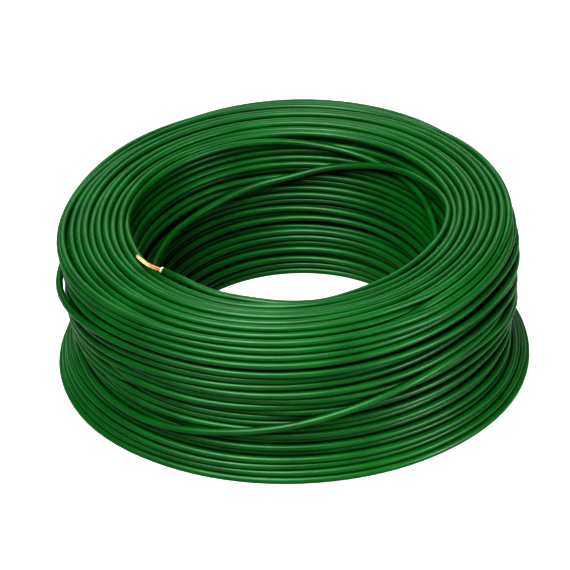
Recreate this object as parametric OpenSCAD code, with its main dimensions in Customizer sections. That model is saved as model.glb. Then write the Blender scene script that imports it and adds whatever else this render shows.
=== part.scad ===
// A coil of single-core building wire, wound without a reel. It lies on its base,
// with its axis up and its origin on that axis at the base. Millimetres, +Z up.

/* [Wire] */
// Diameter of each of the seven copper strands
strand_d = 0.67; // [0.5:0.01:0.85]
// Thickness of the pale inner layer of insulation
sleeve_t = 0.36; // [0.2:0.01:0.5]
// Thickness of the green outer layer of insulation
jacket_t = 0.31; // [0.2:0.01:0.45]

/* [Coil] */
// Height from the base to the top turns
coil_h = 71.5; // [60:0.5:80]
// Outer radius at the base
base_r = 107; // [98:0.5:130]
// Height of the straight foot below the waist
foot_h = 5; // [3:0.5:8]
// Outer radius at the waist
waist_r = 99.5; // [94:0.5:104]
// Height of the waist
waist_z = 27; // [20:1:32]
// Outer radius at the bulge above the waist
bulge_r = 103.5; // [98:0.5:110]
// Height of the bulge
bulge_z = 47; // [40:1:50]
// Outer radius that the wall draws in to at the top
top_r = 100; // [96:0.5:105]
// Radius of the rounded outer top edge, at the turns' centres
edge_r = 8; // [8:0.5:10]

/* [Eye] */
// Radius of the straight land at the bottom of the eye
hub_r = 58; // [57:0.5:59]
// Height of that land
land_h = 14; // [8:1:16]
// Radius of the eye where its sloping wall ends and the inner edge begins
eye_r = 69.5; // [69.5:0.5:72]
// Height of the rounded inner edge
inner_edge_h = 9.4; // [8:0.2:14]
// Least radius of the innermost top turn's centre
rim_r = 76; // [76:0.5:80]

/* [Wire ends] */
// Bare copper beyond the insulation at the inner end
strip_len = 15; // [8:0.5:18]
// How far the pale layer stands out of the green one at the inner end
sleeve_out = 1; // [0:0.1:2]
// Length of the sleeved piece at the outer end
outer_end_len = 12; // [8:0.5:20]
// Direction of the outer end, seen from above
outer_end_a = 100; // [60:5:120]

/* [Hidden] */

jacket_green = [0.05, 0.40, 0.14];
sleeve_ivory = [0.92, 0.90, 0.80];
strand_copper = [0.85, 0.50, 0.28];

turn_gap = 0.5;      // between neighbouring turns of the outer layer
seat_gap = 0.5;      // between the outer layer and the packed turns under it
floor_gap = 0.2;     // under the lowest outer turn
pocket_gap = 0.3;    // round a turn where it dives between the packed turns
fit_gap = 0.05;      // between the layers of one wire
strand_gap = 0.025;  // between the strands

// A wire from its middle outwards: strands, pale layer, green layer.
lay_r = strand_d + strand_gap;
conductor_d = 2 * lay_r + strand_d;
sleeve_in_d = conductor_d + 2 * fit_gap;
sleeve_d = sleeve_in_d + 2 * sleeve_t;
jacket_in_d = sleeve_d + 2 * fit_gap;
wire_d = jacket_in_d + 2 * jacket_t;

// A winding's tube has this many rings a turn and sides a ring.
turn_rings = 24;
turn_sides = 6;
pitch = wire_d + turn_gap;

// The outline of the coil as a radius for each height: foot, waist, bulge and top.
function ease(a, b, u) = a + (b - a) * (1 - cos(180 * max(0, min(1, u)))) / 2;
function outer_r(z) =
    z < waist_z ? ease(base_r, waist_r, (z - foot_h) / (waist_z - foot_h))
    : z < bulge_z ? ease(waist_r, bulge_r, (z - waist_z) / (bulge_z - waist_z))
    : ease(bulge_r, top_r, (z - bulge_z) / (coil_h - bulge_z));

// The outer layer climbs the wall, rounds the top edge and runs in over the top.
first_z = wire_d / 2 + floor_gap;
edge_z = coil_h - wire_d / 2 - edge_r;
edge_in_r = outer_r(edge_z) - wire_d / 2 - edge_r;
wall_turns = (edge_z - first_z) / pitch;
edge_turns = edge_r * PI / 2 / pitch;
top_turns = (edge_in_r - rim_r) / pitch;

// Centre of the outer layer in the half plane [radius, height], after t turns.
function layer_at(t) =
    t < wall_turns ? let (z = first_z + pitch * t) [outer_r(z) - wire_d / 2, z]
    : t < wall_turns + edge_turns
        ? let (a = (t - wall_turns) * pitch / edge_r * 180 / PI)
            [edge_in_r + edge_r * cos(a), edge_z + edge_r * sin(a)]
    : [edge_in_r - (t - wall_turns - edge_turns) * pitch, edge_z + edge_r];

function unit(v) = v / norm(v);
function turned(p, a) = [p.x * cos(a), p.x * sin(a), p.y];

// Its last turn stops at this direction and dives under the turns beside it.
dive_a = 85;
dive_slope = 15;
dive_len = 8 * wire_d;
whole_turns = floor(wall_turns + edge_turns + top_turns);
layer_turns = whole_turns + (outer_end_a - dive_a) / 360;
layer_steps = ceil(layer_turns * turn_rings);

outer_end_from = turned(layer_at(0), outer_end_a);
outer_end_dir = [-sin(outer_end_a), cos(outer_end_a), 0];
outer_end_joint = outer_end_from + 1.2 * wire_d * outer_end_dir;
outer_end_tip = outer_end_joint + outer_end_len * outer_end_dir;

dive_from = turned(layer_at(layer_turns), dive_a);
dive_to = dive_from + dive_len * [
    cos(dive_slope) * sin(dive_a), -cos(dive_slope) * cos(dive_a), -sin(dive_slope)
];

layer_path = [
    outer_end_joint,
    for (i = [0 : layer_steps])
        let (t = layer_turns * i / layer_steps)
            turned(layer_at(t), outer_end_a - 360 * t),
    dive_to - 1.5 * wire_d * unit(dive_to - dive_from),
    dive_to
];

// The inner end stands free in the eye. Its cut end lies on the inner edge, and the
// free turn runs once round the eye and down, to where it leaves the packed turns.
// These points are chosen by hand, and the first and last pairs are straight.
lead_collar = [-54, -42, 71.5];
lead_route = [
    [-42, -51, 70], [-38, -54, 69.5], [-30, -59, 69], [-17, -64.5, 69],
    [-3, -67, 68], [11.5, -66.5, 67.5], [25.5, -62, 68], [38.5, -55, 68.5],
    [50, -45, 68.5], [60, -32, 68.5], [67.5, -17, 68.5], [70.5, -1, 69],
    [68, 14.5, 67.5], [62.5, 28, 65.5], [54.5, 40, 64], [44, 50.5, 61.5],
    [31.5, 58.5, 58], [17.5, 63, 54.5], [2.5, 64, 50.5], [-12.5, 62.5, 48],
    [-27, 57, 45.5], [-39.5, 48.5, 43.5], [-50, 37, 42.5], [-57, 23, 42],
    [-61, 8, 41.5], [-61, -7.5, 39.5], [-57.5, -21.5, 36.5], [-47.5, -48.5, 35]
];
lead_sides = 8;
span_rings = 2;
lead_last = len(lead_route) - 1;
lead_joint = lead_route[0];

// A smooth curve through the points p, at u of the way from point i to the next.
function curve_at(p, i, u) =
    0.5 * (2 * p[i] + (p[i + 1] - p[i - 1]) * u
        + (2 * p[i - 1] - 5 * p[i] + 4 * p[i + 1] - p[i + 2]) * u * u
        + (3 * p[i] - p[i - 1] - 3 * p[i + 1] + p[i + 2]) * u * u * u);

lead_path = [
    lead_route[0],
    for (i = [1 : lead_last - 2], k = [0 : span_rings - 1])
        curve_at(lead_route, i, k / span_rings),
    lead_route[lead_last - 1],
    lead_route[lead_last]
];

// Least distance between two stretches of a path, looking three turns ahead.
function to_segment(p, a, b) =
    let (u = max(0, min(1, (p - a) * (b - a) / ((b - a) * (b - a)))))
        norm(p - a - u * (b - a));
function least_gap(path, skip, ahead) = min([
    for (i = [0 : len(path) - 2 - skip], j = [i + skip : min(i + ahead, len(path) - 2)])
        to_segment(path[i], path[j], path[j + 1])
]) - wire_d;
echo(outer_turns_least_gap_mm = least_gap(layer_path, turn_rings / 2, 3 * turn_rings));
echo(inner_lead_least_gap_mm = least_gap(lead_path, 6, len(lead_path)));
echo(outer_layer_turns = layer_turns);

// Direction of a path at point i, between the pieces before and after it.
function heading(path, i) =
    i == 0 ? unit(path[1] - path[0])
    : i == len(path) - 1 ? unit(path[i] - path[i - 1])
    : unit(unit(path[i] - path[i - 1]) + unit(path[i + 1] - path[i]));

// A closed tube of diameter d along a path that never runs straight up.
module tube(path, d, sides) {
    rings = len(path);
    function ring(i) =
        let (
            ahead = heading(path, i),
            side = unit(cross([0, 0, 1], ahead)),
            up = cross(ahead, side)
        )
        [for (k = [0 : sides - 1])
            path[i] + d / 2 * (cos(360 * k / sides) * side + sin(360 * k / sides) * up)];
    function at(i, k) = i * sides + k % sides;
    polyhedron(
        points = [for (i = [0 : rings - 1]) each ring(i)],
        faces = [
            for (k = [1 : sides - 2]) [at(0, 0), at(0, k), at(0, k + 1)],
            for (i = [0 : rings - 2], k = [0 : sides - 1])
                each [
                    [at(i, k), at(i + 1, k), at(i + 1, k + 1)],
                    [at(i, k), at(i + 1, k + 1), at(i, k + 1)]
                ],
            for (k = [1 : sides - 2])
                [at(rings - 1, 0), at(rings - 1, k + 1), at(rings - 1, k)]
        ]
    );
}

// Places its children with their Z axis from one point towards another.
module along(from, to) {
    d = to - from;
    translate(from)
        rotate([0, acos(d.z / norm(d)), atan2(d.y, d.x)])
            children();
}

// The space where a turn dives between the packed turns. Its bottom is flat.
module pocket(from, to) {
    along(from, to)
        cylinder(h = norm(to - from), r = wire_d / 2 + pocket_gap, $fn = 48);
}

// The packed turns fill the outline, less the outer layer. A winding's straight
// facets cut in between their rings, so the outline is drawn in by that much.
facet_in = cos(180 / turn_rings);
core_in = wire_d / 2 + seat_gap;
function layer_out(t) =
    let (d = layer_at(t + 0.05) - layer_at(t - 0.05))
        unit([d.y, -d.x]);
core_side = [
    for (i = [1 : 2 * whole_turns - 1])
        let (t = i / 2, c = layer_at(t), n = layer_out(t))
            [c.x * facet_in - core_in * n.x, c.y - core_in * n.y]
];
core_top_z = coil_h - wire_d - seat_gap;
core_foot_r = layer_at(0).x * facet_in - core_in;
eye_z = core_top_z - inner_edge_h;
function inner_edge_at(across, up) =
    [eye_r + (rim_r - eye_r) * across, eye_z + inner_edge_h * up];
core_outline = [
    [hub_r, 0],
    [core_foot_r, 0],
    each core_side,
    inner_edge_at(1, 1),
    inner_edge_at(0.5, 0.75),
    inner_edge_at(0.2, 0.4),
    inner_edge_at(0, 0),
    [hub_r, land_h]
];

module packed_turns() {
    color(jacket_green)
        difference() {
            rotate_extrude($fn = 96) polygon(core_outline);
            pocket(lead_route[lead_last - 1], lead_route[lead_last]);
            pocket(dive_from, dive_to);
        }
}

module outer_turns() {
    color(jacket_green) tube(layer_path, wire_d, turn_sides);
}

module inner_lead() {
    color(jacket_green) tube(lead_path, wire_d, lead_sides);
}

// The layers of a cut wire end, along Z from the joint.
module wire_layer(outer_d, inner_d, length) {
    difference() {
        cylinder(h = length, d = outer_d, $fn = 48);
        translate([0, 0, -1]) cylinder(h = length + 2, d = inner_d, $fn = 48);
    }
}

module jacket(length) {
    color(jacket_green) wire_layer(wire_d, jacket_in_d, length);
}

module sleeve(length) {
    color(sleeve_ivory) wire_layer(sleeve_d, sleeve_in_d, length);
}

module centre_strand(length) {
    color(strand_copper) cylinder(h = length, d = strand_d, $fn = 24);
}

module lay_strand(i, length) {
    color(strand_copper)
        rotate(60 * i) translate([lay_r, 0, 0]) cylinder(h = length, d = strand_d, $fn = 24);
}

inner_end_len = norm(lead_collar - lead_joint);
inner_copper_len = inner_end_len + strip_len;

module inner_end_jacket() {
    along(lead_joint, lead_collar) jacket(inner_end_len);
}

module inner_end_sleeve() {
    along(lead_joint, lead_collar) sleeve(inner_end_len + sleeve_out);
}

module inner_end_centre_strand() {
    along(lead_joint, lead_collar) centre_strand(inner_copper_len);
}

module inner_end_strand(i) {
    along(lead_joint, lead_collar) lay_strand(i, inner_copper_len);
}

module outer_end_jacket() {
    along(outer_end_joint, outer_end_tip) jacket(outer_end_len);
}

module outer_end_sleeve() {
    along(outer_end_joint, outer_end_tip) sleeve(outer_end_len);
}

module outer_end_strands() {
    along(outer_end_joint, outer_end_tip) {
        centre_strand(outer_end_len);
        for (i = [1 : 6]) lay_strand(i, outer_end_len);
    }
}

packed_turns();
outer_turns();
inner_lead();
inner_end_jacket();
inner_end_sleeve();
inner_end_centre_strand();
inner_end_strand(1);  // inner_end_strand_1
inner_end_strand(2);  // inner_end_strand_2
inner_end_strand(3);  // inner_end_strand_3
inner_end_strand(4);  // inner_end_strand_4
inner_end_strand(5);  // inner_end_strand_5
inner_end_strand(6);  // inner_end_strand_6
outer_end_jacket();
outer_end_sleeve();
outer_end_strands();
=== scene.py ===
"""A coil of green single-core building wire, wound without a reel, in metres and in the CAD's own frame.

Directions round the coil are angles seen from above: 0 at +X, 90 at the back (+Y), 180 at the left and 270
at the front.
"""

import math

import bpy
import numpy as np
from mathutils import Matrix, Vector


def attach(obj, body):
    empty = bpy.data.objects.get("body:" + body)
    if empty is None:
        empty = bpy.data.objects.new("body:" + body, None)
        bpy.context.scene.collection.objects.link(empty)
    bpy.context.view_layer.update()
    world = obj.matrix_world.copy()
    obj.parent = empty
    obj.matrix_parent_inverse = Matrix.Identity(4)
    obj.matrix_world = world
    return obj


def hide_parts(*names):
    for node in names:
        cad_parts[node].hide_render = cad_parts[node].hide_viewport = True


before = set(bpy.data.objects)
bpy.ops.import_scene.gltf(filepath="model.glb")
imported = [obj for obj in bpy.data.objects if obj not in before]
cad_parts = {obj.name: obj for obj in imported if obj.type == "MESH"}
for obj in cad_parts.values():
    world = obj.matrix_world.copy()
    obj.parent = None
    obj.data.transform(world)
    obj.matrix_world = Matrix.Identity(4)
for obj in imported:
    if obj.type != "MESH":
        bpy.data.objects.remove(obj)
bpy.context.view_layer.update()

MM = 0.001

# ---------------------------------------------------------------- camera

PICTURE_SIDE = 570
FOCAL_PIXELS = 2508
SENSOR_WIDTH = 36.0
# Where the lens's axis meets the picture, in pixels from its top left.
PICTURE_CENTRE = (291.1, 279.6)
CAMERA_UP_DEG = 33.5
CAMERA_ROLL_DEG = -3.1
CAMERA_DISTANCE = 1.12
COIL_MIDDLE = Vector((0, 0, 0.0357))


def make_camera():
    data = bpy.data.cameras.new("camera")
    camera = bpy.data.objects.new("camera", data)
    bpy.context.scene.collection.objects.link(camera)
    up = math.radians(CAMERA_UP_DEG)
    back = Vector((0, -math.cos(up), math.sin(up)))
    camera.location = COIL_MIDDLE + CAMERA_DISTANCE * back
    camera.rotation_euler = back.to_track_quat("Z", "Y").to_euler()
    camera.rotation_euler.rotate_axis("Z", math.radians(CAMERA_ROLL_DEG))
    data.sensor_width = SENSOR_WIDTH
    data.lens = FOCAL_PIXELS * SENSOR_WIDTH / PICTURE_SIDE
    data.shift_x = (PICTURE_SIDE / 2 - PICTURE_CENTRE[0]) / PICTURE_SIDE
    data.shift_y = (PICTURE_CENTRE[1] - PICTURE_SIDE / 2) / PICTURE_SIDE
    bpy.context.scene.camera = camera


make_camera()

# ---------------------------------------------------------------- the wire, its two ends and its free turn

# The wire as it is drawn. The CAD has the standard 3.6 mm.
WIRE_D = 0.0032
WIRE_R = WIRE_D / 2
TUBE_SIDES = 12

# The outer end, at the back: the direction in which it leaves the turns, where its straight piece starts,
# and its cut, just short of the end of the pale sleeve inside it.
OUTER_END_FROM_DEG = 97.5
OUTER_END = (-0.01827, 0.1036, 0.002)
OUTER_END_CUT = (-0.03395, 0.10084, 0.002)

# The inner end: where its jacket is cut, and the route of the free turn from there, as in part.scad.
LEAD_COLLAR = (-0.054, -0.042, 0.0715)
LEAD_ROUTE = [
    (-0.042, -0.051, 0.070), (-0.038, -0.054, 0.0695), (-0.030, -0.059, 0.069), (-0.017, -0.0645, 0.069),
    (-0.003, -0.067, 0.068), (0.0115, -0.0665, 0.0675), (0.0255, -0.062, 0.068), (0.0385, -0.055, 0.0685),
    (0.050, -0.045, 0.0685), (0.060, -0.032, 0.0685), (0.0675, -0.017, 0.0685), (0.0705, -0.001, 0.069),
    (0.068, 0.0145, 0.0675), (0.0625, 0.028, 0.0655), (0.0545, 0.040, 0.064), (0.044, 0.0505, 0.0615),
    (0.0315, 0.0585, 0.058), (0.0175, 0.063, 0.0545), (0.0025, 0.064, 0.0505), (-0.0125, 0.0625, 0.048),
    (-0.027, 0.057, 0.0455), (-0.0395, 0.0485, 0.0435), (-0.050, 0.037, 0.0425), (-0.057, 0.023, 0.042),
    (-0.061, 0.008, 0.0415), (-0.061, -0.0075, 0.0395), (-0.0575, -0.0215, 0.0365),
    (-0.0475, -0.0485, 0.035),
]
LEAD_SAMPLES = 4


def through(points, samples, closed=False):
    """A smooth curve through the points, with so many samples for each span."""
    points = np.asarray(points, float)
    if closed:
        spans = [np.roll(points, shift, 0) for shift in (1, 0, -1, -2)]
    else:
        padded = np.vstack([2 * points[0] - points[1], points, 2 * points[-1] - points[-2]])
        spans = [padded[:-3], padded[1:-2], padded[2:-1], padded[3:]]
    before, start, end, after = (corners[:, None, :] for corners in spans)
    share = (np.arange(samples) / samples)[None, :, None]
    curve = 0.5 * (
        2 * start + (end - before) * share + (2 * before - 5 * start + 4 * end - after) * share**2
        + (3 * start - before - 3 * end + after) * share**3
    )
    return curve.reshape(-1, points.shape[1])


lead_curve = through(LEAD_ROUTE, LEAD_SAMPLES)

# ---------------------------------------------------------------- the coil's section

# The surface of the coil, in millimetres: first (radius, height) from the bottom of the eye up its wall and
# over the top, the same all round, then the radius of the outer wall at each height of WALL_HEIGHTS, for
# directions 30 degrees apart from 0, and last the base. The base starts with a ring under the foot, which
# is FOOT_RING wide all round.
EYE_AND_TOP = [
    (59.3, 0), (58.0, 4), (58.4, 14), (62.6, 32), (66.6, 48), (69.2, 58), (70.0, 64.5), (71.8, 69.0),
    (76.5, 71.2), (84.0, 71.9), (91.5, 71.0),
]
WALL_HEIGHTS = (67.5, 60.5, 51.0, 41.0, 32.0, 25.0, 17.0, 10.0, 3.8, 0.0)
WALL_RADII = [
    (98.0, 100.4, 101.0, 101.0, 101.0, 99.4, 96.8, 98.8, 104.0, 104.0),
    (98.8, 100.6, 101.2, 101.4, 100.8, 99.0, 97.0, 97.8, 100.8, 100.6),
    (103.2, 103.8, 103.2, 101.8, 100.0, 98.6, 98.4, 100.0, 102.4, 102.0),
    (105.8, 105.8, 104.0, 102.0, 100.0, 99.2, 100.0, 103.0, 107.0, 107.0),
    (103.0, 103.0, 102.6, 101.6, 100.0, 99.2, 100.4, 103.4, 107.0, 107.0),
    (100.8, 101.4, 101.6, 101.2, 100.2, 99.2, 100.4, 103.0, 105.6, 105.2),
    (101.4, 101.6, 100.2, 100.4, 100.2, 98.4, 99.8, 103.2, 106.0, 105.6),
    (100.6, 101.2, 100.8, 101.0, 100.0, 98.8, 100.2, 102.8, 105.6, 105.4),
    (97.6, 100.8, 101.6, 101.4, 100.4, 99.8, 100.4, 101.8, 103.0, 102.6),
    (97.6, 100.6, 101.4, 101.2, 100.2, 99.4, 99.8, 101.0, 102.4, 102.2),
    (97.2, 100.4, 101.6, 101.8, 101.0, 100.2, 100.8, 102.4, 104.8, 104.4),
    (96.8, 100.0, 101.4, 101.4, 101.0, 100.2, 101.6, 104.4, 107.2, 106.8),
]
FOOT_RING = 7
BASE = [(80, 0), (68, 0)]
CORNERS = len(EYE_AND_TOP) + len(WALL_HEIGHTS) + 1 + len(BASE)
# Some of those corners by number: the top of the eye's wall, the top of the outer wall, its foot, and the
# inside of the ring under the foot.
EYE_TOP, TOP_EDGE, WALL_FOOT, FOOT_INSIDE = 7, 11, 20, 21
SECTION_SAMPLES = 12
LAP = CORNERS * SECTION_SAMPLES

# Stations are the directions at which the turns are laid against each other. The first lies just past the
# end of the free turn.
STATIONS = 96
FIRST_STATION = 62
station_deg = (FIRST_STATION + np.arange(STATIONS)) * 360 / STATIONS
wall_radii = through(WALL_RADII, STATIONS // len(WALL_RADII), closed=True)


def section(radii):
    """The section for one set of wall radii, and the inward normal at each of its samples."""
    foot_inside = (radii[-1] - FOOT_RING, 0)
    corners = np.array([*EYE_AND_TOP, *zip(radii, WALL_HEIGHTS), foot_inside, *BASE]) * MM
    points = through(corners, SECTION_SAMPLES, closed=True)
    along = np.roll(points, -1, 0) - np.roll(points, 1, 0)
    along /= np.linalg.norm(along, axis=1)[:, None]
    return points, np.stack([along[:, 1], -along[:, 0]], 1)


sections = [section(wall_radii[(FIRST_STATION + k) % STATIONS]) for k in range(STATIONS)]
station_section, station_normal = (np.array(x) for x in zip(*sections))
mean_section = section(wall_radii.mean(0))[0]
steps_round = np.linalg.norm(np.diff(mean_section, axis=0), axis=1)
length_round = np.concatenate([[0], np.cumsum(steps_round)])


def place_by(axis, millimetres, corner_from, corner_to):
    """Where the mean section reaches a radius (axis 0) or a height (axis 1), counted in samples."""
    low, high = corner_from * SECTION_SAMPLES, corner_to * SECTION_SAMPLES
    run = mean_section[low : high + 1, axis]
    order = np.argsort(run)
    return float(np.interp(millimetres * MM, run[order], (low + np.arange(len(run)))[order]))


def on_eye(height):
    """The place of a height on the eye's wall."""
    return place_by(1, height, 0, EYE_TOP + 1)


def on_top(radius):
    """The place of a radius on the top."""
    return place_by(0, radius, EYE_TOP, TOP_EDGE)


def on_wall(height):
    """The place of a height on the outer wall, or on the edge of the top above its first corner."""
    return place_by(1, height, TOP_EDGE - 2, WALL_FOOT)


def run_length(low, high):
    """The length of the mean section between two places on it."""
    places = np.arange(LAP)
    return abs(np.interp(high, places, length_round) - np.interp(low, places, length_round))


# ---------------------------------------------------------------- where the turns lie

# Heights, radii and depths are in millimetres, and a depth is how far a row lies behind the section's face.
# A hold above 0 ties the turns to the plan there, and a plain row has none. Names with PART give the parts
# of a turn at which the row has its place, counted from the front, so that 0.5 is the back.
FRONT_DEG = 270

# The wire leaves the free turn and goes down, deep in the coil: turns from the start, height on the eye's
# wall, depth and hold.
DEEP, UNDER_EYE = 8.8, 3.2
DESCENT = [
    (0, 35, 6.0, 0.5), (0.03, 35, 8.0, 0.5), (0.08, 35, DEEP, 0.3), (1.0, 2.5, DEEP, 0),
    (1.3, 2.5, UNDER_EYE, 0),
]
# Then it winds the layer under the one that shows: heights on the eye's wall, radii on the top and heights
# on the outer wall that it passes, each with its depth.
UNDER_EYE_WALL = [(50, UNDER_EYE), (57, 7.0), (66, 7.0)]
UNDER_TOP = [(80, 4.8), (94, 4.8)]
UNDER_WALL = [(56, 5.4), (52, 8.0), (47, 8.0), (43, 6.2), (26, 6.0), (20, 4.8), (10.5, 5.0)]
UNDER_PITCH = 4.0
# Then the base, from the outside in: turns from the last place, corner of the section and depth, and the
# corner at which it ends.
BASE_START = [(0.3, FOOT_INSIDE, 8.0), (0.3, 20.8, 0), (1.0, 20.8, 0)]
BASE_TO = 23.3
BASE_PITCH = 3.8

# Last comes the layer that shows. Each row on the eye's wall: its height, and its depth at the right and at
# the left. At the back its depth is the smaller of the two, and no more than EYE_BACK_DEPTH.
EYE_ROWS = [
    (1.9, 0, 0), (5.2, 0, 0), (8.6, 0, 0), (11.4, 1.2, 1.0), (13.9, 0, 0), (16.6, 1.0, 1.0),
    (19.4, 0, 0), (22.3, 0.3, 0.6), (24.9, 1.1, 1.2), (28.2, 0, 0), (31.0, 1.1, 1.2), (34.1, 0, 0.4),
    (36.9, 1.2, 1.6), (39.9, 0, 1.0), (43.0, 0.2, 2.0), (45.8, 1.0, 1.2), (48.8, 0.8, 0.2),
    (51.6, 2.4, 1.2), (54.3, 2.4, 0.4), (57.0, 3.4, 2.0), (59.7, 3.4, 3.0), (63.0, 3.4, 4.2),
]
EYE_PARTS = (0.27, 0.45, 0.73)
EYE_BACK_DEPTH = 1.2
# The last turn on the eye's wall is loose. It drops along the near wall, climbs across the others from the
# right to the back, and follows the rim over the left and the front: its direction, height and depth.
LOOSE_EYE_HOLD = 0.2
LOOSE_EYE_TURN = [
    (205, 62.5, 0), (235, 58.5, -3.0), (280, 52.0, -3.2), (325, 46.5, -2.8), (364, 47.0, -1.8),
    (372, 51.0, -2.2), (382, 55.6, -2.6), (393, 57.8, -2.0), (405, 59.0, -0.8), (416, 60.8, -0.4),
    (427, 62.6, -0.8), (440, 64.6, -1.8), (448, 66.0, -2.2), (470, 67.6, -2.2), (500, 67.9, -1.0),
    (520, 67.4, 0.2), (534, 67.2, -0.6), (545, 67.2, -2.4), (554, 67.2, -3.1), (563, 67.6, -3.0),
    (575, 68.2, -2.9), (588, 68.4, -2.7), (600, 68.4, -2.3), (612, 68.6, -2.1), (625, 69.0, -2.1),
    (645, 69.2, -2.1), (665, 69.0, -1.8), (685, 68.8, -1.2), (705, 69.2, 0),
]
# Each row on the top: its radius and its depth, both at the back.
TOP_ROWS = [
    (72.9, 0), (75.9, 1.0), (79.2, 0), (82.5, 0.1), (85.4, 1.2), (88.4, 0), (91.6, 0.1), (94.6, 1.2),
    (96.6, 0),
]
TOP_PART = 0.5
# The first of them at the front, where it lies against the loose turn: its radius and its depth.
FRONT_RIM = (73.0, -0.8)
FRONT_RIM_PARTS = (0.86, 0.98)
# Each row on the outer wall from the top down: its height and depth at the left side, the front left, the
# front right and the right side. Rows that lie a whole layer deep are hidden there.
WALL_ROWS = [
    ((68.2, 0.0), (68.2, 0.0), (68.4, 0.0), (68.2, 0.0)),
    ((65.0, 0.2), (66.4, 1.2), (65.2, 0.0), (65.2, 0.2)),
    ((61.8, 0.0), (63.3, 0.0), (62.9, 1.4), (62.0, 0.0)),
    ((58.6, 0.3), (61.7, 3.3), (61.9, 3.3), (59.0, 0.4)),
    ((55.4, 0.0), (59.9, 0.0), (60.4, 0.0), (55.8, 0.0)),
    ((52.2, 0.6), (57.9, 3.3), (57.6, 3.0), (52.6, 0.5)),
    ((48.6, 0.0), (55.8, 0.4), (54.8, 0.0), (49.4, 0.0)),
    ((46.4, 2.6), (53.6, 3.3), (53.4, 3.6), (46.4, 0.4)),
    ((44.6, 0.0), (51.2, 0.0), (51.0, 5.0), (43.4, 0.0)),
    ((42.8, 3.0), (49.6, 3.4), (50.0, 8.2), (40.8, 2.2)),
    ((41.0, 0.0), (47.6, 0.0), (47.8, 4.0), (38.4, 0.3)),
    ((39.2, 2.8), (44.3, 0.6), (45.4, 0.4), (34.6, 0.0)),
    ((37.2, 0.0), (40.6, 0.8), (39.5, 0.0), (31.6, 0.6)),
    ((35.4, 2.6), (38.2, 0.0), (36.8, 2.2), (29.4, 3.0)),
    ((33.4, 0.0), (35.0, 2.2), (33.6, 0.0), (27.6, 0.0)),
    ((31.4, 2.6), (32.9, 0.0), (30.4, 2.4), (25.6, 3.1)),
    ((29.4, 0.0), (28.7, 0.8), (27.4, 0.0), (23.8, 0.0)),
    ((27.4, 1.8), (26.3, 0.0), (24.4, 2.4), (21.8, 3.1)),
    ((25.4, 0.0), (23.4, 0.5), (21.4, 0.0), (20.2, 0.0)),
    ((23.0, 1.2), (20.6, 0.4), (18.4, 2.4), (18.4, 2.4)),
    ((17.6, 0.0), (18.0, 0.0), (15.4, 0.0), (16.8, 0.0)),
    ((14.6, 0.2), (15.0, 0.8), (12.4, 2.0), (13.7, 0.4)),
    ((11.6, 0.0), (11.6, 0.0), (9.8, 0.0), (10.6, 0.0)),
    ((8.4, 0.2), (8.4, 0.2), (7.2, 1.6), (7.6, 0.2)),
    ((5.2, 0.0), (5.2, 0.2), (4.9, 0.2), (4.8, 0.0)),
    ((1.9, 0.0), (1.9, 0.0), (1.9, 0.0), (1.9, 0.0)),
]
# The directions between which each of these places holds.
WALL_ROW_SPANS = ((165, 200), (234, 234), (316, 336), (352, 365))
# The heights at which the first of these rows pass the back, about evenly spaced to keep them in order.
BACK_HEIGHTS = (68.2, 66.4, 63.4, 60.4, 57.4, 54.4, 51.4, 48.4, 45.3, 42.2, 39.0, 35.7, 32.2)
BACK_DEPTH = 0.1
BACK_PARTS = (0.40, 0.58)
# One row hangs off the left side: the directions there and how far it stands out. It climbs on the way, by
# a millimetre in LOOSE_CLIMB_DEG, and is at the row's height at LOOSE_LEVEL_DEG. It and the crossing turn
# have LOOSE_HOLD.
LOOSE_ROW = 6
LOOSE_OUT = [(170, 0.2), (178, 2.0), (186, 4.2), (194, 5.0), (204, 4.2), (216, 2.2)]
LOOSE_LEVEL_DEG, LOOSE_CLIMB_DEG = 173, 8
LOOSE_HOLD = 0.3
# The turn after this row crosses the others on the front of the wall: its direction, height and depth.
CROSSING_AFTER_ROW = 19
CROSSING = [
    (170, 21.0, 2.2), (184, 20.2, 0.4), (198, 19.0, 0.0), (210, 17.9, -0.3), (220, 17.9, -1.2),
    (230, 19.1, -2.4), (240, 21.5, -3.0), (250, 24.4, -3.0), (260, 27.2, -3.0), (268, 30.2, -3.0),
    (276, 33.6, -3.0), (284, 37.0, -2.9), (292, 39.8, -2.6), (304, 42.2, -1.4), (316, 42.6, -0.2),
    (328, 41.6, 0.4), (340, 38.0, 2.4), (350, 33.0, 5.0), (370, 28.0, 6.2), (410, 25.0, 6.2),
    (460, 23.0, 6.2), (500, 20.0, 6.2),
]
# The last turn comes down to this height, this part of a turn before it leaves the coil.
END_HEIGHT = 2.0
END_RUN = 0.12
END_HOLD = 0.5


def part_of_turn(direction):
    return (direction - FRONT_DEG) / 360


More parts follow.
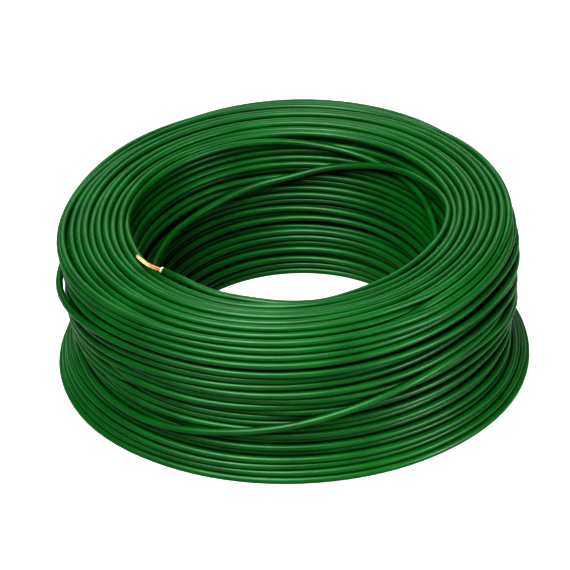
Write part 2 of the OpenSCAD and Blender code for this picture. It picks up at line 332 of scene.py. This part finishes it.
def plan_turns():
    """The winding's route as knots: turn, place on the section, depth behind its face, and hold.

    Also gives the turns at which the winding starts and ends, and from which it shows.
    """
    knots = []

    def knot(turn, place, behind, hold=0.0):
        knots.append((turn, place, WIRE_R + behind * MM, hold))

    def wind_to(place, behind, pitch):
        turns = run_length(knots[-1][1], place) / (pitch * MM)
        knot(knots[-1][0] + turns, place, behind)

    start = part_of_turn(station_deg[0])
    for turns, height, behind, hold in DESCENT:
        knot(start + turns, on_eye(height), behind, hold)
    for place_on, rows in ((on_eye, UNDER_EYE_WALL), (on_top, UNDER_TOP), (on_wall, UNDER_WALL)):
        for measure, behind in rows:
            wind_to(place_on(measure), behind, UNDER_PITCH)
    for turns, corner, behind in BASE_START:
        knot(knots[-1][0] + turns, corner * SECTION_SAMPLES, behind)
    wind_to(BASE_TO * SECTION_SAMPLES, 0, BASE_PITCH)

    # The layer that shows. Each row keeps its place where it is seen and changes to the next elsewhere.
    turn = math.ceil(knots[-1][0])
    shown_from = turn
    for height, behind_right, behind_left in EYE_ROWS:
        behind_back = min(behind_right, behind_left, EYE_BACK_DEPTH)
        for part, behind in zip(EYE_PARTS, (behind_right, behind_back, behind_left)):
            knot(turn + part, LAP + on_eye(height), behind)
        turn += 1
    for direction, height, behind in LOOSE_EYE_TURN:
        knot(turn + part_of_turn(direction), LAP + on_eye(height), behind, LOOSE_EYE_HOLD)
    turn += 1
    for i, (radius, behind) in enumerate(TOP_ROWS):
        knot(turn + TOP_PART, LAP + on_top(radius), behind)
        if i == 0:
            for part in FRONT_RIM_PARTS:
                knot(turn + part, LAP + on_top(FRONT_RIM[0]), FRONT_RIM[1])
        turn += 1
    for i, row in enumerate(WALL_ROWS):
        for (height, behind), span in zip(row, WALL_ROW_SPANS):
            if i == LOOSE_ROW and span == WALL_ROW_SPANS[0]:
                for direction, out in LOOSE_OUT:
                    climb = (direction - LOOSE_LEVEL_DEG) / LOOSE_CLIMB_DEG
                    knot(turn + part_of_turn(direction), LAP + on_wall(height + climb), -out, LOOSE_HOLD)
                continue
            for direction in sorted(set(span)):
                knot(turn + part_of_turn(direction), LAP + on_wall(height), behind)
        if i < len(BACK_HEIGHTS):
            for part in BACK_PARTS:
                knot(turn + part, LAP + on_wall(BACK_HEIGHTS[i]), BACK_DEPTH)
        turn += 1
        if i == CROSSING_AFTER_ROW:
            for direction, height, behind in CROSSING:
                knot(turn + part_of_turn(direction), LAP + on_wall(height), behind, LOOSE_HOLD)
            turn += 1
    end = turn - 1 + part_of_turn(OUTER_END_FROM_DEG + 360)
    knot(end - END_RUN, LAP + on_wall(END_HEIGHT), 0)
    knot(end, LAP + on_wall(END_HEIGHT), 0, END_HOLD)
    return np.array(knots), start, end, shown_from


# ---------------------------------------------------------------- laying the turns against each other

SEED = 7
LAY_STEPS = 260
# Points nearer than NEAR are a pair, and a pair that overlaps is pushed apart to TOUCH. The pairs are found
# anew every so many steps.
NEAR = 1.7 * WIRE_D
TOUCH = WIRE_D * 1.005
PAIRS_EVERY = 12
# How strongly turns that overlap are pushed apart, and how much less where several touch.
PUSH = 1.4
CROWDING = 0.35
# Turns that show, and turns with a hold above HELD, give way less than the others, which have 1.
SHOWN_YIELDS, HELD_YIELDS = 0.25, 0.4
HELD = 0.1
# The pull towards the planned place, the share of it left at the last step, and the most it may be.
HOME_PULL, LAST_PULL, MOST_PULL = 0.05, 0.3, 0.6
# The wire's stiffness, and the share of it left at the last step.
STIFFNESS, LAST_STIFFNESS = 0.25, 0.25
# How far the turns drift from the plan, along the face and in depth, and over how many turns. A hold stills
# the drift, wholly from 1 / HOLD_STILLS up. Each wave has a random size between WAVE_LEAST and WAVE_MOST.
WANDER, SINK = 0.6 * MM, 0.5 * MM
WANDER_PERIODS, SINK_PERIODS = (0.43, 0.71, 1.37, 2.61), (0.37, 0.59, 1.21, 3.3)
WAVE_LEAST, WAVE_MOST = 0.6, 1.0
HOLD_STILLS = 4
# The plan's corners are rounded over so many stations to each side.
ROUNDING = 3


def wander(rng, turns, size, periods):
    """A slow drift along the winding, of about that size."""
    total = np.zeros(len(turns))
    for period in periods:
        wave = np.sin(2 * math.pi * (turns / period + rng.random()))
        total += wave * rng.uniform(WAVE_LEAST, WAVE_MOST)
    return size * total / math.sqrt(len(periods))


def soften(values, reach):
    """Rounds off the corners of a list of values."""
    weights = np.hanning(2 * reach + 3)[1:-1]
    padded = np.concatenate([np.full(reach, values[0]), values, np.full(reach, values[-1])])
    return np.convolve(padded, weights / weights.sum(), mode="valid")


def section_point(station, place, behind):
    """The point (radius, height) at a place on a station's section, so far behind its face."""
    low = np.floor(place).astype(int) % LAP
    high = (low + 1) % LAP
    share = (place - np.floor(place))[:, None]
    point = station_section[station, low] * (1 - share) + station_section[station, high] * share
    normal = station_normal[station, low] * (1 - share) + station_normal[station, high] * share
    return point + normal * behind[:, None]


def lead_at_stations():
    """The points (radius, height) where the free turn passes stations, and the stations it passes."""
    points = np.vstack([[LEAD_COLLAR], lead_curve])
    angle = np.degrees(np.unwrap(np.arctan2(points[:, 1], points[:, 0])))
    angle += 360 * np.round((station_deg[0] - angle[1]) / 360)
    radius = np.hypot(points[:, 0], points[:, 1])
    passing, passed = [], []
    for lap in (0, -360):
        wanted = station_deg + lap
        inside = np.flatnonzero((wanted > angle[0]) & (wanted < angle[-1]))
        at = wanted[inside]
        passing.append(np.stack([np.interp(at, angle, radius), np.interp(at, angle, points[:, 2])], 1))
        passed.append(inside)
    return np.vstack(passing), np.concatenate(passed)


def close_pairs(points, station):
    """The pairs of points at one station that are near each other."""
    pairs = []
    for number in range(STATIONS):
        here = np.flatnonzero(station == number)
        gap = points[here, None] - points[None, here]
        first, second = np.nonzero(np.triu((gap**2).sum(2) < NEAR**2, 1))
        pairs.append(np.stack([here[first], here[second]], 1))
    return np.vstack(pairs)


def lay_turns():
    """The winding's path as points (radius, height) at the stations, with the turns lying on each other.

    Also gives each point's turn and station, and the turn from which the winding shows.
    """
    rng = np.random.default_rng(SEED)
    knots, start, end, shown_from = plan_turns()
    count = int(round((end - start) * STATIONS)) + 1
    turns = start + np.arange(count) / STATIONS
    station = np.arange(count) % STATIONS
    place, behind, hold = (np.interp(turns, knots[:, 0], knots[:, i]) for i in (1, 2, 3))
    place, behind = soften(place, ROUNDING), soften(behind, ROUNDING)
    free = np.clip(1 - HOLD_STILLS * hold, 0, 1)
    sample_length = length_round[-1] / LAP
    place = place + free * wander(rng, turns, WANDER / sample_length, WANDER_PERIODS)
    behind = behind + free * wander(rng, turns, SINK, SINK_PERIODS)
    home = section_point(station, place, behind)
    home[:, 1] = np.maximum(home[:, 1], WIRE_R)
    pull = (HOME_PULL + hold)[:, None]

    # The free turn stays where it is, and the others are laid against it.
    fixed, fixed_station = lead_at_stations()
    all_stations = np.concatenate([station, fixed_station])
    yielding = np.where(turns > shown_from, SHOWN_YIELDS, 1.0) * np.where(hold > HELD, HELD_YIELDS, 1.0)
    yielding = np.concatenate([yielding, np.zeros(len(fixed))])

    at = home.copy()
    for step in range(LAY_STEPS):
        both = np.vstack([at, fixed])
        if step % PAIRS_EVERY == 0:
            pairs = close_pairs(both, all_stations)
            share = yielding[pairs]
            share = share / np.maximum(share.sum(1), 1e-9)[:, None]
        apart = both[pairs[:, 0]] - both[pairs[:, 1]]
        distance = np.linalg.norm(apart, axis=1)
        overlap = np.maximum(0, TOUCH - distance)[:, None]
        push = overlap * apart / np.maximum(distance, 1e-6)[:, None]
        shift = np.zeros_like(both)
        hits = np.ones(len(both))
        for side, sign in ((0, 1), (1, -1)):
            np.add.at(shift, pairs[:, side], sign * share[:, side, None] * push)
            np.add.at(hits, pairs[:, side], CROWDING * (distance < TOUCH))
        at = at + shift[:count] / hits[:count, None] * PUSH
        left = 1 - step / LAY_STEPS
        at += np.minimum(pull * (LAST_PULL + (1 - LAST_PULL) * left), MOST_PULL) * (home - at)
        middle = (at[:-2] + at[2:]) / 2
        at[1:-1] += STIFFNESS * (LAST_STIFFNESS + (1 - LAST_STIFFNESS) * left) * (middle - at[1:-1])
        at[:, 1] = np.maximum(at[:, 1], WIRE_R)
    return at, turns, station, shown_from


def path_points(at, station):
    """Points (radius, height) at stations, as points in space."""
    angle = np.radians(station_deg[station])
    return np.stack([at[:, 0] * np.cos(angle), at[:, 0] * np.sin(angle), at[:, 1]], 1)


# ---------------------------------------------------------------- meshes


def new_object(name, vertices, faces, finish):
    mesh = bpy.data.meshes.new(name)
    mesh.from_pydata(vertices, [], faces)
    mesh.update()
    mesh.polygons.foreach_set("use_smooth", [True] * len(mesh.polygons))
    mesh.materials.append(finish)
    made = bpy.data.objects.new(name, mesh)
    bpy.context.scene.collection.objects.link(made)
    return made


def tube(path, diameter):
    """Rings of vertices along a path that never runs straight up, and the faces between and at its ends."""
    ahead = np.gradient(path, axis=0)
    ahead /= np.linalg.norm(ahead, axis=1)[:, None]
    side = np.cross([0, 0, 1], ahead)
    side /= np.linalg.norm(side, axis=1)[:, None]
    up = np.cross(ahead, side)
    angle = (2 * math.pi * np.arange(TUBE_SIDES) / TUBE_SIDES)[None, :, None]
    rings = path[:, None] + diameter / 2 * (np.cos(angle) * side[:, None] + np.sin(angle) * up[:, None])
    ring = np.arange(len(path) - 1)[:, None] * TUBE_SIDES
    next_ring = ring + TUBE_SIDES
    corner = np.arange(TUBE_SIDES)[None, :]
    next_corner = (corner + 1) % TUBE_SIDES
    quads = np.stack([ring + corner, ring + next_corner, next_ring + next_corner, next_ring + corner], -1)
    faces = quads.reshape(-1, 4).tolist()
    last_ring = (len(path) - 1) * TUBE_SIDES
    faces.append(list(range(TUBE_SIDES))[::-1])
    faces.append([last_ring + i for i in range(TUBE_SIDES)])
    return rings.reshape(-1, 3).tolist(), faces


# ---------------------------------------------------------------- materials

# The noise values between which a finish goes from its low to its high value.
NOISE_LOW, NOISE_HIGH = 0.3, 0.7


def material(name):
    """A new material, its node tree and the sockets of its shader."""
    made = bpy.data.materials.new(name)
    made.use_nodes = True
    return made, made.node_tree, made.node_tree.nodes["Principled BSDF"].inputs


def noise(tree, scale, detail):
    """The output of a new noise texture."""
    coordinates = tree.nodes.new("ShaderNodeTexCoord")
    texture = tree.nodes.new("ShaderNodeTexNoise")
    texture.inputs["Scale"].default_value = scale
    texture.inputs["Detail"].default_value = detail
    tree.links.new(coordinates.outputs["Object"], texture.inputs["Vector"])
    return texture.outputs["Fac"]


def vary(tree, socket, low, high, scale, detail=2):
    """Feeds a socket with a noise that goes from one colour to another."""
    made = tree.nodes.new("ShaderNodeValToRGB")
    stops = zip(made.color_ramp.elements, (NOISE_LOW, NOISE_HIGH), (low, high))
    for element, position, colour in stops:
        element.position = position
        element.color = (*colour, 1)
    tree.links.new(noise(tree, scale, detail), made.inputs["Fac"])
    tree.links.new(made.outputs["Color"], socket)


def bump(tree, socket, strength, distance, scale, detail=2):
    """Feeds a normal's socket with bumps from a noise."""
    made = tree.nodes.new("ShaderNodeBump")
    made.inputs["Strength"].default_value = strength
    made.inputs["Distance"].default_value = distance
    tree.links.new(noise(tree, scale, detail), made.inputs["Height"])
    tree.links.new(made.outputs["Normal"], socket)


def grey(value):
    return (value, value, value)


def green_insulation():
    made, tree, shader = material("green_insulation")
    vary(tree, shader["Base Color"], (0.0012, 0.034, 0.0042), (0.0020, 0.046, 0.0060), scale=55, detail=3)
    vary(tree, shader["Roughness"], grey(0.38), grey(0.46), scale=160)
    shader["Specular IOR Level"].default_value = 0.19
    bump(tree, shader["Normal"], strength=0.12, distance=0.0002, scale=420)
    return made


def inner_insulation():
    made, tree, shader = material("inner_insulation")
    vary(tree, shader["Base Color"], (0.20, 0.21, 0.14), (0.28, 0.29, 0.20), scale=900)
    shader["Roughness"].default_value = 0.55
    bump(tree, shader["Normal"], strength=0.2, distance=0.0001, scale=1500)
    return made


def copper():
    made, tree, shader = material("copper")
    vary(tree, shader["Base Color"], (0.25, 0.135, 0.075), (0.38, 0.215, 0.13), scale=300)
    shader["Metallic"].default_value = 1.0
    vary(tree, shader["Roughness"], grey(0.46), grey(0.58), scale=700)
    return made


GREEN = green_insulation()
IVORY = inner_insulation()
COPPER = copper()

# ---------------------------------------------------------------- the coil

# The first part of the winding that is drawn in full. After it, the turns under the others need only every
# other station.
FULL_START = 0.3


def make_coil():
    at, turns, station, shown_from = lay_turns()
    drawn = (turns > shown_from) | (turns < turns[0] + FULL_START) | (np.arange(len(turns)) % 2 == 0)
    wound = path_points(at[drawn], station[drawn])
    path = np.vstack([[LEAD_COLLAR], lead_curve, [LEAD_ROUTE[-1]], wound, [OUTER_END, OUTER_END_CUT]])
    coil = new_object("wire_turns", *tube(path, WIRE_D), GREEN)
    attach(coil, "root")
    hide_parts("packed_turns", "outer_turns", "inner_lead", "inner_end_jacket", "outer_end_jacket")


make_coil()

# A ribbed ring for the turns deep in the coil, which only a gap between the others could show: its outline
# as (radius, height) in millimetres, the pitch of its ribs and how far they stand out.
CORE_OUTLINE = [
    (75, 6.5), (75.5, 20), (78.5, 38), (81, 50), (84, 55), (87, 54), (88, 46), (87.5, 32), (86.5, 20),
    (88, 6.5), (81, 6.2),
]
CORE_SAMPLES = 24
CORE_PITCH = 3.6 * MM
CORE_RIB = 0.9 * MM


def make_core():
    outline = through(np.array(CORE_OUTLINE) * MM, CORE_SAMPLES, closed=True)
    step = np.roll(outline, -1, 0) - outline
    length = np.linalg.norm(step, axis=1)
    run = np.cumsum(length) - length
    ribs = round(length.sum() / CORE_PITCH)
    outward = np.stack([step[:, 1], -step[:, 0]], 1) / length[:, None]
    outline = outline - outward * (CORE_RIB * np.cos(2 * math.pi * run / length.sum() * ribs))[:, None]
    angle = 2 * math.pi * np.arange(STATIONS) / STATIONS
    count = len(outline)
    vertices = np.stack([
        np.outer(np.cos(angle), outline[:, 0]), np.outer(np.sin(angle), outline[:, 0]),
        np.tile(outline[:, 1], (STATIONS, 1)),
    ], -1).reshape(-1, 3)
    column, row = np.meshgrid(np.arange(STATIONS), np.arange(count), indexing="ij")
    next_row = (row + 1) % count
    start, next_start = column * count, (column + 1) % STATIONS * count
    quads = np.stack([start + row, next_start + row, next_start + next_row, start + next_row], -1)
    faces = quads.reshape(-1, 4)
    core = new_object("inner_turns", vertices.tolist(), faces.tolist(), GREEN)
    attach(core, "root")
    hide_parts("packed_turns")


make_core()

# The seven strands of the stripped end: one in the middle and six round it, twisted by STRAND_LAY_DEG from
# the collar to their tips. The bundle sags and then lifts.
STRAND_D = 0.67 * MM
STRAND_LENGTH = 14.4 * MM
STRAND_HIDDEN = 2 * MM
STRAND_LAY_DEG = 70
STRAND_SAG = 0.9 * MM
STRAND_LIFT = 1.2 * MM
STRAND_RINGS = 24
STRAND_SPACING = STRAND_D * 1.02
# Each strand differs a little from the others. Its tip lies nearer to the middle by a share between these
# two, and is bent aside and cut longer or shorter by up to so many millimetres.
STRAND_CLOSE_LEAST, STRAND_CLOSE_MOST = 0.02, 0.10
STRAND_BEND = 0.07
STRAND_CUT = 0.15


def make_strands():
    collar = np.array(LEAD_COLLAR)
    along = collar - np.array(LEAD_ROUTE[0])
    along /= np.linalg.norm(along)
    side = np.cross([0, 0, 1], along)
    side /= np.linalg.norm(side)
    up = np.cross(along, side)
    rng = np.random.default_rng(SEED)
    reach = np.linspace(-STRAND_HIDDEN, STRAND_LENGTH, STRAND_RINGS)
    share = np.clip(reach / STRAND_LENGTH, 0, 1)
    rise = STRAND_LIFT * share**2 - STRAND_SAG * np.sin(math.pi * share)
    middle = collar + reach[:, None] * along + rise[:, None] * up
    for i in range(7):
        turn = math.radians(60 * i) + math.radians(STRAND_LAY_DEG) * share
        apart = STRAND_SPACING if i else 0
        wide = 1 - rng.uniform(STRAND_CLOSE_LEAST, STRAND_CLOSE_MOST) * share
        bend = rng.uniform(-STRAND_BEND, STRAND_BEND, 2) * MM
        across = apart * wide * np.cos(turn) + bend[0] * share**2
        above = apart * wide * np.sin(turn) + bend[1] * share**2
        cut = rng.uniform(-STRAND_CUT, STRAND_CUT) * MM * share**4
        path = middle + across[:, None] * side + above[:, None] * up + cut[:, None] * along
        strand = new_object(f"copper_strand_{i}", *tube(path, STRAND_D), COPPER)
        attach(strand, "root")
        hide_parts(f"inner_end_strand_{i}" if i else "inner_end_centre_strand")


make_strands()

# The CAD nodes that stay, and their finishes.
KEPT_NODES = {"inner_end_sleeve": IVORY, "outer_end_sleeve": IVORY, "outer_end_strands": COPPER}
for name, finish in KEPT_NODES.items():
    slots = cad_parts[name].data.materials
    slots.clear()
    slots.append(finish)

# ---------------------------------------------------------------- floor and light

FLOOR_REACH = 3.0
LAMPS_AIM = Vector((0, 0, 0.03))


def make_floor():
    made, _, shader = material("floor")
    shader["Base Color"].default_value = (0.12, 0.12, 0.121, 1)
    shader["Emission Color"].default_value = (1, 1, 1, 1)
    shader["Emission Strength"].default_value = 0.66
    shader["Roughness"].default_value = 0.9
    shader["Specular IOR Level"].default_value = 0.1
    corners = [(x * FLOOR_REACH, y * FLOOR_REACH, 0) for x, y in ((-1, -1), (1, -1), (1, 1), (-1, 1))]
    new_object("floor", corners, [(0, 1, 2, 3)], made)


def make_light(name, place, size, power):
    """A round lamp that points at the coil."""
    data = bpy.data.lights.new(name, "AREA")
    data.shape = "DISK"
    data.size = size
    data.energy = power
    light = bpy.data.objects.new(name, data)
    bpy.context.scene.collection.objects.link(light)
    light.location = place
    light.rotation_euler = (Vector(place) - LAMPS_AIM).to_track_quat("Z", "Y").to_euler()


make_floor()
make_light("key", (-0.38, -0.66, 1.2), size=1.1, power=66)
make_light("low fill", (1.05, -0.7, 0.28), size=0.5, power=24)
make_light("back fill", (0.05, 1.2, 1.0), size=1.4, power=15)

# The world is nearly dark: the light comes from the lamps and the floor.
world = bpy.data.worlds.new("world")
world.use_nodes = True
world.node_tree.nodes["Background"].inputs["Color"].default_value = (1, 1, 1, 1)
world.node_tree.nodes["Background"].inputs["Strength"].default_value = 0.01
bpy.context.scene.world = world
bpy.context.scene.view_settings.view_transform = "Standard"
bpy.context.scene.view_settings.look = "Very High Contrast"
